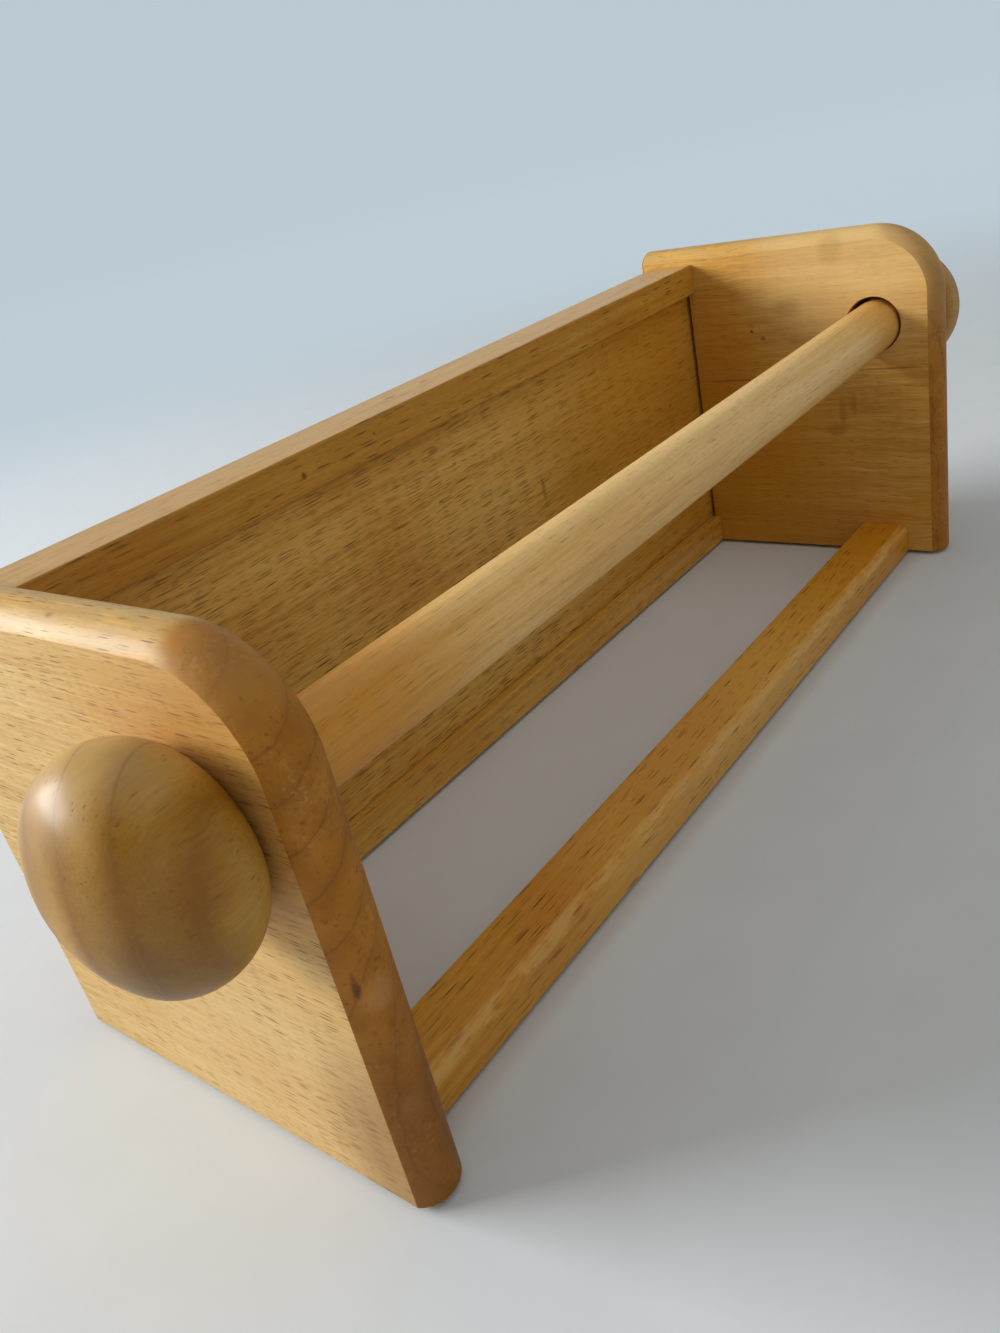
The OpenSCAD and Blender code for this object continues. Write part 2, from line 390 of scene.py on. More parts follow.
# Turns that lay the pattern's X along the grain, and the grain's own axis on the piece
grainTurns = {"X": (0, 0, 0), "Y": (0, 0, -math.pi / 2)}
grainAxes = {"X": (1, 0, 0), "Y": (0, 1, 0)}

# Sizes are along and across the grain, waves are per metre
woodBuild = {
    "wanderWaves": (6, 22, 22), "rippleWaves": (45, 30, 30), "patchWaves": (16, 26, 26),
    "unrestSize": (200 * mm, 17 * mm), "bandSize": (200 * mm, 7 * mm),
    "lineSize": (60 * mm, 1.5 * mm), "fibreSize": (16 * mm, 0.5 * mm),
    "crowdSize": (60 * mm, 11 * mm), "wearAndLightMottleSize": (13 * mm, 2.8 * mm),
    "tones": (0.1, 0.5, 0.9),            # where the deep, body and pale colours lie
    "ringMean": 0.64,                    # of the wave from ring to ring
    "ringEdge": 0.16,                    # breadth of the dark line between rings
    "poreSize": 0.42, "fineSize": 0.4,   # shares of a pore's cell
    "finer": 2.2,                        # fine pores' cells are this much smaller
    "fineShow": 0.7,
    "patch": (0.4, 0.75),                # span over which the blush comes in
    "fibreRise": 0.35, "fibreRough": 0.16,
    "wearAndLightFade": 0.22,
    "raggedScale": 450,                  # of the rims of spots
    "bumpDepth": 0.12 * mm,
    "lacquer": 1.48,                     # index of refraction
}
endGrain = {
    "lean": (0.06, 0.24),                # faces that lean this far across the grain show it
    "mottleScale": 130, "speckScale": 900, "scuffScale": 70,
    "tones": (0.3, 0.72),
    "ringShow": 0.12, "lineShow": 0.32,
    "pits": (0.3, 0.42, 0.5, 0.0),       # span of the speck noise, and the shares at its ends
    "paleSpecks": (0.5, 0.7, 0.0, 0.4),
    "scuffed": (0.45, 0.65),
    "rougher": 0.05,
}


# Lacquered rubberwood as a solid: growth rings, fibres and pores run through the piece,
# so long faces show streaks and end faces show rings and pits
def woodFinish(name, look):
    f = Finish(name)
    place, normal = f.place.outputs["Object"], f.place.outputs["Normal"]
    turn = grainTurns[look["grain"]]
    turned = f.put("ShaderNodeMapping", {"Vector": place, "Location": look["shift"], "Rotation": turn})
    turned = turned.outputs[0]

    # the grain wanders from straight in long waves, and ripples in short ones
    grain = turned
    for waves, far in (("wanderWaves", look["wander"]), ("rippleWaves", look["ripple"])):
        drift = f.sway(f.vector("MULTIPLY", turned, woodBuild[waves]))
        grain = f.vector("MULTIPLY_ADD", drift, (0, far, far), grain)

    # growth rings about a heart outside the piece
    fromHeart = f.vector("SUBTRACT", grain, look["heart"])
    fromHeart = f.vector("MULTIPLY", fromHeart, (look["tilt"], 1, 1))
    age = f.calc("DIVIDE", f.reach("LENGTH", fromHeart), look["ringGap"])
    unrest = f.streak(grain, *woodBuild["unrestSize"], detail=3)
    age = f.calc("MULTIPLY_ADD", unrest, look["unrest"], age)
    ring = f.calc("ABSOLUTE", f.calc("SINE", f.calc("MULTIPLY", age, math.pi)))
    ring = f.calc("SUBTRACT", ring, woodBuild["ringMean"])
    ringLow = -woodBuild["ringMean"]
    lateWood = f.spread(ring, ringLow, ringLow + woodBuild["ringEdge"], 1.0, 0.0)

    # bands, lines and fibres, each finer than the last, then pores of two sizes
    tone = f.calc("MULTIPLY_ADD", ring, look["ringShow"], 0.5)
    for size, share in (("bandSize", "bandShow"), ("lineSize", "lineShow")):
        tone = f.calc("MULTIPLY_ADD", f.streak(grain, *woodBuild[size]), look[share], tone)
    fibre = f.streak(grain, *woodBuild["fibreSize"], detail=3, rough=0.6)
    tone = f.calc("MULTIPLY_ADD", fibre, look["fibreShow"], tone)
    crowd = f.streak(grain, *woodBuild["crowdSize"])
    fineCell = [level / woodBuild["finer"] for level in look["poreCell"]]
    pore = f.pores(grain, crowd, look["poreCell"], look["poreShare"], woodBuild["poreSize"])
    fine = f.pores(grain, crowd, fineCell, look["fineShare"], woodBuild["fineSize"])
    pore = f.calc("MAXIMUM", pore, f.calc("MULTIPLY", fine, woodBuild["fineShow"]))

    # colour from deep to pale, with warm patches and broad zones of another tone, most of them painted
    # light and shade
    colour = f.ramp(tone, woodBuild["tones"], (look["deep"], look["body"], look["pale"]))
    patch = f.noise(f.vector("MULTIPLY", turned, woodBuild["patchWaves"]), detail=1).outputs[0]
    patch = f.spread(patch, *woodBuild["patch"], 0.0, look["blushShow"])
    colour = f.mix(patch, colour, look["blush"], "MULTIPLY")
    ragged = f.sway(place, woodBuild["raggedScale"])
    for zone in look.get("zones", []):
        colour = f.mix(f.spot(zone, ragged), colour, zone["tint"])
    colour = f.mix(f.calc("MULTIPLY", lateWood, look["ringLine"]), colour, look["deep"])
    colour = f.mix(f.calc("MULTIPLY", pore, look["poreShow"]), colour, look["poreTint"])
    height = f.calc("MULTIPLY_ADD", fibre, woodBuild["fibreRise"], f.calc("MULTIPLY", pore, -1.0))
    rough = f.calc("MULTIPLY_ADD", fibre, woodBuild["fibreRough"], look["rough"])

    # paler mottled patches on faces turned one way: partly wear, where hands and paper thin the
    # lacquer, partly painted light on those faces
    if "wearAndLightWay" in look:
        facing = f.reach("DOT_PRODUCT", normal, look["wearAndLightWay"])
        wearAndLightMottle = f.calc("ADD", f.streak(grain, *woodBuild["wearAndLightMottleSize"], detail=4, rough=0.65), 0.5)
        wearAndLightShare = f.spread(facing, look["wearAndLightFrom"], look["wearAndLightFrom"] + woodBuild["wearAndLightFade"])
        wearAndLightShare = f.calc("MULTIPLY", wearAndLightShare, f.spread(wearAndLightMottle, *look["wearAndLightPatch"]))
        colour = f.mix(f.calc("MULTIPLY", wearAndLightShare, look["wearAndLightShow"]), colour, look["wearAndLightTint"])

    # across the grain the wood drinks more lacquer: browner, with ring lines, pits and pale specks
    if "endTint" in look:
        facing = f.reach("DOT_PRODUCT", normal, grainAxes[look["grain"]])
        endFace = f.spread(f.calc("ABSOLUTE", facing), *endGrain["lean"])
        mottle = f.noise(place, detail=5, rough=0.6, scale=endGrain["mottleScale"]).outputs[0]
        mottle = f.calc("MULTIPLY_ADD", ring, endGrain["ringShow"], mottle)
        endColour = f.ramp(mottle, endGrain["tones"], (look["endTint"], look["endPale"]))
        ringLine = f.calc("MULTIPLY", lateWood, endGrain["lineShow"])
        endColour = f.mix(ringLine, endColour, look["endLine"])
        speck = f.noise(place, detail=3, rough=0.6, scale=endGrain["speckScale"]).outputs[0]
        scuffed = f.noise(place, scale=endGrain["scuffScale"]).outputs[0]
        scuffed = f.spread(scuffed, *endGrain["scuffed"])
        endColour = f.mix(f.spread(speck, *endGrain["pits"]), endColour, look["endLine"])
        paleSpeck = f.calc("MULTIPLY", f.spread(speck, *endGrain["paleSpecks"]), scuffed)
        endColour = f.mix(paleSpeck, endColour, look["wearAndLightTint"])
        colour = f.mix(endFace, colour, endColour)
        rough = f.calc("MULTIPLY_ADD", endFace, endGrain["rougher"], rough)

    # pin knots, streaks and stains at their places, and a few broad marks of painted light and shade
    for mark in look.get("marks", []):
        colour = f.mix(f.spot(mark, ragged), colour, mark["tint"])

    f.fill(f.surface, {
        "Base Color": colour, "Roughness": rough, "Specular IOR Level": look["gloss"],
        "Normal": f.bump(height, look["bump"], woodBuild["bumpDepth"]), "Coat Weight": look["coat"],
        "Coat Roughness": look["coatRough"], "Coat IOR": woodBuild["lacquer"]})
    return f.material


# A spot on a piece, in millimetres; where squash is under 1 along an axis, the spot is longer there
def spotAt(middle, radius, show, colour, squash=(1, 1, 1)):
    return {"at": [level * mm for level in middle], "radius": radius * mm, "show": show,
            "tint": colour, "squash": squash}


# In each look, heart is the middle of the growth rings in the shifted pattern, tilt is how far
# they close up along the grain, and names with show or share say how strong or how many
poreBrown = tint(92, 54, 16)
stainBrown = tint(128, 78, 24)
knotBrown = tint(74, 38, 10)

sideLook = {
    "grain": "Y", "shift": (0.31, 0.02, 0.07), "wander": 3.0 * mm, "ripple": 0.6 * mm,
    "heart": (0.0, 0.127, 0.094), "tilt": 0.05, "ringGap": 7 * mm, "unrest": 1.0,
    "poreCell": (6.0 * mm, 0.6 * mm, 0.42 * mm), "poreShare": 0.5, "fineShare": 0.36,
    "ringShow": 0.1, "ringLine": 0.1, "bandShow": 0.3, "lineShow": 0.5, "fibreShow": 1.0,
    "blush": tint(250, 230, 206), "blushShow": 0.6,
    "poreTint": tint(116, 68, 20), "poreShow": 0.85, "bump": 0.35, "rough": 0.47,
    "gloss": 0.2, "coat": 0.04, "coatRough": 0.22,
    # the upward faces, the top edge's band most of all, come out paler: wear and a painted highlight
    "wearAndLightWay": (0, 0, 1), "wearAndLightFrom": 0.2, "wearAndLightPatch": (0.41, 0.59),
    "wearAndLightTint": tint(196, 164, 108), "wearAndLightShow": 0.6,
    "endTint": tint(158, 98, 20), "endPale": tint(186, 123, 34), "endLine": tint(104, 58, 14),
}

nearSideWood = woodFinish("nearSideWood", {
    **sideLook,
    "deep": tint(190, 144, 74), "body": tint(219, 180, 110), "pale": tint(236, 206, 146),
    "zones": [
        # painted shade and warm bounce light about the knob's shadow, towards the top front
        spotAt((-162.7, -40, 92), 48, 0.45, tint(206, 146, 58), squash=(20, 1, 1)),
        # painted bounce light from the floor: paler low on the face
        spotAt((-162.7, -24, 12), 65, 0.4, tint(230, 198, 142), squash=(20, 1, 1)),
    ],
    "marks": [
        spotAt((-157.0, -46.0, 117.0), 17, 0.4, tint(200, 150, 82)),
        spotAt((-157.1, -57.0, 53.1), 5.0, 0.45, tint(196, 146, 86)),
        spotAt((-160.9, -56.0, 56.4), 0.5, 0.7, knotBrown, squash=(0.45, 0.45, 0.16)),
        spotAt((-157.1, -57.0, 46.1), 1.4, 0.45, stainBrown),
        spotAt((-158.2, -57.0, 26.5), 3.4, 0.4, tint(192, 144, 88)),
        # painted shade: darker low on the front edge, towards the floor
        spotAt((-157.0, -57.0, 12.0), 45, 0.55, tint(120, 74, 18), squash=(1, 1.6, 1)),
        spotAt((-162.1, -57.0, 89.0), 0.7, 0.8, knotBrown),
        spotAt((-159.8, -4.5, 120.6), 1.0, 0.6, stainBrown, squash=(1, 0.4, 1)),
    ],
})

farSideWood = woodFinish("farSideWood", {
    **sideLook,
    "wander": 6.0 * mm, "ripple": 2.5 * mm, "lineShow": 0.75, "poreShow": 0.5,
    "deep": tint(188, 132, 50), "body": tint(212, 162, 76), "pale": tint(226, 188, 110),
    "zones": [
        # painted shade low on the face and beside the back panel
        spotAt((150, 30, 20), 80, 0.68, tint(196, 130, 10)),
        spotAt((150, 36, 80), 38, 0.5, tint(192, 124, 8)),
    ],
    "marks": [
        # painted light: paler high on the face, towards the front
        spotAt((150, -25, 112), 52, 0.5, tint(232, 204, 146)),
        spotAt((150, 12.4, 88.2), 0.9, 0.8, knotBrown),
        spotAt((150, 8.1, 85.3), 1.3, 0.75, stainBrown),
        spotAt((150, 20, 69.4), 0.55, 0.6, stainBrown, squash=(1, 0.022, 1)),
        spotAt((150, -41, 71.7), 0.55, 0.6, stainBrown, squash=(1, 0.03, 1)),
        spotAt((150, -21.4, 55.5), 2.0, 0.32, stainBrown, squash=(1, 1, 0.25)),
        spotAt((150, -18.6, 48.8), 3.4, 0.36, stainBrown, squash=(1, 0.6, 1)),
        spotAt((150, -26.0, 59.0), 1.6, 0.3, stainBrown, squash=(1, 1, 0.25)),
        spotAt((150, 3.4, 20.9), 0.8, 0.35, stainBrown, squash=(1, 0.25, 1)),
        spotAt((150, -9.2, 37.6), 0.8, 0.3, stainBrown, squash=(1, 0.3, 1)),
        spotAt((150, -20.0, 116.0), 5.0, 0.2, stainBrown, squash=(1, 0.8, 0.6)),
        spotAt((150, -2.0, 96.0), 5.0, 0.24, stainBrown, squash=(1, 0.6, 1)),
    ],
})

railLook = {
    "grain": "X", "shift": (0.12, 0.4, 0.23), "wander": 2.5 * mm, "ripple": 0.6 * mm,
    "heart": (0.0, 0.45, 0.15), "tilt": 0.04, "ringGap": 5 * mm, "unrest": 1.6,
    "poreCell": (9.0 * mm, 0.8 * mm, 0.8 * mm), "poreShare": 0.45, "fineShare": 0.4,
    "deep": tint(170, 114, 28), "body": tint(196, 144, 48), "pale": tint(214, 170, 80),
    "ringShow": 0.15, "ringLine": 0.1, "bandShow": 0.5, "lineShow": 0.5, "fibreShow": 0.8,
    "blush": tint(244, 220, 188), "blushShow": 0.7,
    "poreTint": poreBrown, "poreShow": 0.75, "bump": 0.35, "rough": 0.42,
    "gloss": 0.3, "coat": 0.08, "coatRough": 0.2,
}

bottomRailWood = woodFinish("bottomRailWood", {
    **railLook,
    "deep": tint(180, 122, 36), "body": tint(208, 156, 62), "pale": tint(222, 180, 88),
    "poreShow": 0.6,
})

topRailWood = woodFinish("topRailWood", {
    **railLook,
    # the top face comes out paler: wear and painted light from above
    "wearAndLightWay": (0, 0, 1), "wearAndLightFrom": 0.72, "wearAndLightPatch": (0.1, 0.55),
    "wearAndLightTint": tint(226, 194, 142), "wearAndLightShow": 0.42,
    "marks": [
        spotAt((-65.2, 35.0, 109.2), 1.3, 0.8, knotBrown),
        spotAt((-37.4, 35.0, 111.0), 0.6, 0.8, knotBrown),
        spotAt((-18.4, 44.7, 115.3), 1.6, 0.55, stainBrown, squash=(0.5, 1, 1)),
        spotAt((-2.6, 45.2, 115.3), 1.4, 0.5, stainBrown, squash=(0.5, 1, 1)),
    ],
})

frontRailWood = woodFinish("frontRailWood", {
    "grain": "X", "shift": (0.57, 0.13, 0.31), "wander": 2.0 * mm, "ripple": 0.6 * mm,
    "heart": (0.5, 0.10, 0.27), "tilt": 0.05, "ringGap": 5 * mm, "unrest": 1.6,
    "poreCell": (11.0 * mm, 0.85 * mm, 0.85 * mm), "poreShare": 0.55, "fineShare": 0.4,
    "deep": tint(196, 136, 40), "body": tint(214, 158, 56), "pale": tint(226, 180, 86),
    "ringShow": 0.15, "ringLine": 0.1, "bandShow": 0.45, "lineShow": 0.5, "fibreShow": 0.9,
    "blush": tint(244, 214, 170), "blushShow": 0.8,
    "poreTint": poreBrown, "poreShow": 0.8, "bump": 0.4, "rough": 0.42,
    "gloss": 0.3, "coat": 0.08, "coatRough": 0.22,
    # the front arris comes out paler: wear and a painted highlight along it
    "wearAndLightWay": (0, -0.707, 0.707), "wearAndLightFrom": 0.72, "wearAndLightPatch": (0.41, 0.59),
    "wearAndLightTint": tint(228, 184, 112), "wearAndLightShow": 0.6,
    "zones": [
        spotAt((0, -36, 11), 110, 0.4, tint(232, 182, 100)),
        # painted shade towards the far end
        spotAt((135, -36, 8), 95, 0.5, tint(206, 138, 10)),
    ],
})

panelWood = woodFinish("panelWood", {
    "grain": "X", "shift": (0.83, 0.27, 0.11), "wander": 4.0 * mm, "ripple": 0.8 * mm,
    "heart": (0.8, 0.20, 0.17), "tilt": 0.06, "ringGap": 9 * mm, "unrest": 1.6,
    "poreCell": (10.0 * mm, 1.8 * mm, 0.62 * mm), "poreShare": 0.62, "fineShare": 0.5,
    "deep": tint(184, 134, 50), "body": tint(218, 172, 82), "pale": tint(234, 194, 114),
    "ringShow": 0.12, "ringLine": 0.1, "bandShow": 0.5, "lineShow": 0.6, "fibreShow": 1.0,
    "blush": tint(240, 214, 176), "blushShow": 0.7,
    "poreTint": tint(80, 46, 12), "poreShow": 0.95, "bump": 0.45, "rough": 0.45,
    "gloss": 0.25, "coat": 0.06, "coatRough": 0.24,
    "marks": [
        # painted shade over the right part of the board
        spotAt((125, 39, 70), 120, 0.6, tint(198, 138, 20)),
        spotAt((-12.0, 39.0, 97.2), 1.6, 0.5, stainBrown, squash=(0.5, 1, 1)),
        spotAt((37.0, 39.0, 66.5), 1.3, 0.5, stainBrown, squash=(1, 1, 0.22)),
        spotAt((85.8, 39.0, 101.7), 1.0, 0.6, stainBrown),
        spotAt((127.1, 39.0, 66.9), 1.2, 0.6, stainBrown),
    ],
})

rodWood = woodFinish("rodWood", {
    "grain": "X", "shift": (0.21, 0.61, 0.43), "wander": 1.6 * mm, "ripple": 0.3 * mm,
    "heart": (0.2, 0.55, 0.50), "tilt": 0.05, "ringGap": 6 * mm, "unrest": 1.6,
    "poreCell": (6.5 * mm, 0.45 * mm, 0.45 * mm), "poreShare": 0.38, "fineShare": 0.36,
    "deep": tint(214, 163, 85), "body": tint(241, 196, 121), "pale": tint(250, 216, 150),
    "ringShow": 0.15, "ringLine": 0.15, "bandShow": 0.45, "lineShow": 0.6, "fibreShow": 0.9,
    "blush": tint(242, 228, 202), "blushShow": 0.6,
    "poreTint": tint(150, 102, 48), "poreShow": 0.5, "bump": 0.3, "rough": 0.42,
    "gloss": 0.3, "coat": 0.08, "coatRough": 0.2,
    "zones": [
        # painted shade and warm bounce light at the near end, by the near panel
        spotAt((-150, -34, 84), 70, 0.75, tint(204, 134, 20)),
        spotAt((152, -34, 84), 40, 0.6, tint(206, 148, 62)),
        # painted light along the top of the rod
        spotAt((0, -36, 98), 13, 0.5, tint(255, 222, 154), squash=(0.1, 1, 1)),
    ],
})

knobWood = woodFinish("knobWood", {
    "grain": "X", "shift": (0.47, 0.35, 0.19), "wander": 1.5 * mm, "ripple": 0.8 * mm,
    "heart": (0.2606, 0.3741, 0.2827), "tilt": 1.0, "ringGap": 9.4 * mm, "unrest": 0.25,
    "poreCell": (6.0 * mm, 0.7 * mm, 0.7 * mm), "poreShare": 0.2, "fineShare": 0.1,
    "deep": tint(150, 104, 24), "body": tint(176, 130, 45), "pale": tint(196, 156, 76),
    "ringShow": 0.52, "ringLine": 0.4, "bandShow": 0.4, "lineShow": 0.35, "fibreShow": 0.6,
    "blush": tint(242, 226, 190), "blushShow": 0.6,
    "poreTint": tint(122, 80, 32), "poreShow": 0.6, "bump": 0.15, "rough": 0.46,
    "gloss": 0.25, "coat": 0.13, "coatRough": 0.2,
    "zones": [
        # painted light and shade: paler on top, darker on the upper nose, the front and the underside
        spotAt((-174, -33, 110), 20, 0.5, tint(206, 174, 114)),
        spotAt((-189, -31, 99), 15, 0.4, tint(146, 108, 50)),
        spotAt((-185, -50, 90), 17, 0.42, tint(122, 72, 8)),
        spotAt((-184, -47, 74), 17, 0.6, tint(104, 70, 18)),
    ],
})


bareLook = {
    "fibreSize": (25 * mm, 0.8 * mm),
    "tones": (0.25, 0.75), "deep": tint(196, 162, 112), "pale": tint(226, 198, 152),
    "rough": (0.2, 0.8, 0.6, 0.75),    # span of the fibres, and the roughness at its ends
    "bump": 0.3, "bumpDepth": 0.1 * mm,
}


def bareWoodFinish():
    f = Finish("bareDowelWood")
    fibre = f.streak(f.place.outputs["Object"], *bareLook["fibreSize"], detail=4, rough=0.6)
    fibre = f.calc("ADD", fibre, 0.5)
    f.fill(f.surface, {
        "Base Color": f.ramp(fibre, bareLook["tones"], (bareLook["deep"], bareLook["pale"])),
        "Roughness": f.spread(fibre, *bareLook["rough"]),
        "Normal": f.bump(fibre, bareLook["bump"], bareLook["bumpDepth"])})
    return f.material


# Zinc-plated sheet steel: bluish and yellowish clouds, fine rolling marks
zincLook = {
    "cloudScale": 260,
    "rollWaves": (2600, 2600, 140),    # per metre
    "tones": (0.3, 0.5, 0.7),
    "clouds": (tint(176, 178, 184), tint(192, 190, 182), tint(206, 206, 206)),
    "rough": (0.25, 0.75, 0.26, 0.46),
    "bump": 0.2, "bumpDepth": 0.05 * mm,
}


def zincFinish():
    f = Finish("zincPlatedSteel")
    place = f.place.outputs["Object"]
    cloud = f.noise(place, detail=3, rough=0.55, scale=zincLook["cloudScale"]).outputs[0]
    rolled = f.vector("MULTIPLY", place, zincLook["rollWaves"])
    rolled = f.noise(rolled, detail=3, rough=0.6).outputs[0]
    f.fill(f.surface, {
        "Base Color": f.ramp(cloud, zincLook["tones"], zincLook["clouds"]),
        "Roughness": f.spread(rolled, *zincLook["rough"]), "Metallic": 1.0,
        "Normal": f.bump(rolled, zincLook["bump"], zincLook["bumpDepth"])})
    return f.material


dowelWood = bareWoodFinish()
zincSteel = zincFinish()
print("finishes ready")

# The rod's axis, which the bores and the knobs share
rodLow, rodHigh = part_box("roller_rod")
rodAxis = (rodLow + rodHigh) / 2
rodRadius = (rodHigh.y - rodLow.y) / 2

# Blind dowels that join the rails to the side panels
dowelFit = {
    "length": 20.0 * mm,
    "play": 0.05 * mm,
    "endGap": 0.5 * mm,
    "frontSpacing": 8.4 * mm,
    "sides": 32,
}


# Y, Z and radius of each dowel hole in one end of a rail
def dowelPlaces(node, spacing=0.0):
    low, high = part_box(node)
    middle = (low + high) / 2
    radius = (high.z - low.z) / 2 + dowelFit["play"]
    sides = (-1, 1) if spacing else (0,)
    return [(middle.y + side * spacing / 2, middle.z, radius) for side in sides]


railDowels = {
    "top_rail": dowelPlaces("top_rail_dowels"),
    "bottom_rail": dowelPlaces("bottom_rail_dowels"),
    "front_rail": dowelPlaces("front_rail_dowels", dowelFit["frontSpacing"]),
}
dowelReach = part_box("top_rail_dowels")[1].x

sidePanel = {
    "edgeDepth": 4.0 * mm,      # the rounded edge, from its crest in to the crease on each face
    "cornerRadius": 24.0 * mm,  # top front corner, seen from the side
    "edgeSteps": 16,
    "cornerSteps": 24,
    "boreSides": 96,
    "creaseEase": 0.15 * mm,
    "wallEase": 1.5 * mm,
    "footEase": 0.7 * mm,
    "boreEase": 0.4 * mm,
    "boreHeight": 87.5 * mm,
    "borePlay": 0.9 * mm,       # bore radius beyond the rod's
    "grooveSlack": 1.6 * mm,    # open slot in front of the back panel
    "groovePlay": 0.1 * mm,
    "grooveEndGap": 0.5 * mm,
    "grooveRise": 0.3 * mm,     # groove beyond the panel's upper and lower edges
}

keyholePlate = {
    "play": 0.05 * mm,
    "entry": 8.5 * mm,
    "neck": 4.4 * mm,
    "rise": 11.0 * mm,          # from the entry hole to the seat of the neck
    "pocketPlay": 0.4 * mm,
    "pocketDepth": 6.5 * mm,
    "screwMargin": 4.0 * mm,
    "screwHead": 4.6 * mm,
    "screwShank": 2.4 * mm,
    "screwLength": 12.0 * mm,
    "screwPlay": 0.03 * mm,
    "slotWidth": 0.8 * mm,
    "slotDepth": 0.55 * mm,
    "tipFlat": 0.4,             # share of the shank's radius at the screw's tip
    "edgeEase": 0.2 * mm,
    "entrySides": 48,
    "pilotSides": 24,
    "screwSides": 32,
}
plateLow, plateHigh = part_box("right_keyhole_plate")
plateMiddle = (plateLow + plateHigh) / 2
plateSeat = (plateMiddle.x, plateMiddle.z)
plateWidth = plateHigh.x - plateLow.x
plateHeight = plateHigh.z - plateLow.z
screwOffset = plateHeight / 2 - keyholePlate["screwMargin"]


def shapeSidePanel():
    low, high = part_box("right_side_panel")
    halfThick = (high.x - low.x) / 2
    middle = (high.x + low.x) / 2
    depth, corner = sidePanel["edgeDepth"], sidePanel["cornerRadius"]
    edgeRadius = (halfThick ** 2 + depth ** 2) / (2 * depth)
    halfTurn = math.asin(halfThick / edgeRadius)

    # the edge's arc, drawn up the front, round the corner and back to the wall
    panel = startPoint("rightSidePanelBoard", (low.x, low.y + depth, low.z))
    bpy.ops.mesh.spin(steps=sidePanel["edgeSteps"], angle=-2 * halfTurn,
                      center=(middle, low.y + edgeRadius, low.z), axis=(0, 0, 1))
    bpy.ops.mesh.select_all(action="SELECT")
    pull(z=high.z - corner - low.z)
    bpy.ops.mesh.spin(steps=sidePanel["cornerSteps"], angle=math.pi / 2,
                      center=(middle, low.y + corner, high.z - corner), axis=(1, 0, 0))
    pull(y=high.y - corner - low.y)

    # rear corners, then the two faces, the foot and the wall side
    for face in (low.x, high.x):
        pick("VERT", lambda point: near(point.co.x, face) and near(point.co.y, high.y))
        pull(z=low.z - high.z + depth)
    for axis, place in ((0, low.x), (0, high.x), (2, low.z), (1, high.y)):
        pick("VERT", lambda point: near(point.co[axis], place))
        bpy.ops.mesh.edge_face_add()
    faceOutwards()

    # eased edges
    def isCrease(edge):
        onFace = edgeAt(0, low.x)(edge) or edgeAt(0, high.x)(edge)
        return onFace and not edgeAt(2, low.z)(edge) and not edgeAt(1, high.y)(edge)
    pick("EDGE", isCrease)
    ease(sidePanel["creaseEase"], steps=2)
    pick("EDGE", edgeAt(1, high.y))
    ease(sidePanel["wallEase"], steps=4)
    pick("EDGE", edgeAt(2, low.z))
    ease(sidePanel["footEase"])
    endEdit()

    # bore for the rod
    boreRadius = rodRadius + sidePanel["borePlay"]
    boreCentre = Vector((0, rodAxis.y, sidePanel["boreHeight"]))
    cutAway(panel, startRound("bore", "X", low.x - mm, high.x + mm, boreCentre, boreRadius,
                              sidePanel["boreSides"]))

    def isBoreRim(edge):
        def onRim(point):
            out = math.hypot(point.co.y - boreCentre.y, point.co.z - boreCentre.z)
            return near(out, boreRadius)
        return all(onRim(point) for point in edge.verts) and not edgeAlong(edge, 0)
    edit(panel)
    pick("EDGE", isBoreRim)
    ease(sidePanel["boreEase"])
    endEdit()

    # blind groove for the end of the back panel
    boardLow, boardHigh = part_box("back_panel")
    cutAway(panel, startBlock(
        "sideGroove",
        (low.x - mm, boardLow.y - sidePanel["grooveSlack"], boardLow.z - sidePanel["grooveRise"]),
        (boardHigh.x + sidePanel["grooveEndGap"], boardHigh.y + sidePanel["groovePlay"],
         boardHigh.z + sidePanel["grooveRise"])))

    # dowel holes from the inner face
    for places in railDowels.values():
        for y, z, radius in places:
            cutAway(panel, startRound("hole", "X", low.x - mm, dowelReach + dowelFit["endGap"],
                                      (0, y, z), radius, dowelFit["sides"]))

    # keyhole plate's recess, the pocket behind it and two screw holes
    fit = keyholePlate
    floor = plateLow.y - fit["play"]
    pocket = fit["entry"] + 2 * fit["pocketPlay"]
    cutAway(panel, startRoundEnded("recess", plateSeat, plateWidth + 2 * fit["play"],
                                   plateHeight + 2 * fit["play"], floor, high.y + mm))
    cutAway(panel, startRoundEnded("pocket", plateSeat, pocket, pocket + fit["rise"],
                                   floor - fit["pocketDepth"], floor + mm))
    for side in (-1, 1):
        cutAway(panel, startRound(
            "pilot", "Y", high.y - fit["screwLength"] - dowelFit["endGap"], floor + mm / 2,
            (plateMiddle.x, 0, plateMiddle.z + side * screwOffset),
            fit["screwShank"] / 2 + fit["screwPlay"], fit["pilotSides"]))
    return panel


rightPanel = shapeSidePanel()
leftPanel = copyMirrored(rightPanel, "leftSidePanelBoard")
dress(rightPanel, "right_side_panel", farSideWood)
dress(leftPanel, "left_side_panel", nearSideWood)
print("side panels shaped")

backRail = {
    "grooveDepth": 5.0 * mm,
    "grooveSlack": 0.6 * mm,    # open joint in front of the back panel
    "groovePlay": 0.1 * mm,
    "longEase": 0.6 * mm,
    "endEase": 0.25 * mm,
}


def drillEnds(rail, node):
    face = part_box(node)[1].x + mm
    bottom = dowelReach - dowelFit["length"] - dowelFit["endGap"]
    for y, z, radius in railDowels[node]:
        for side in (-1, 1):
            ends = sorted((side * bottom, side * face))
            cutAway(rail, startRound("hole", "X", *ends, (0, y, z), radius, dowelFit["sides"]))


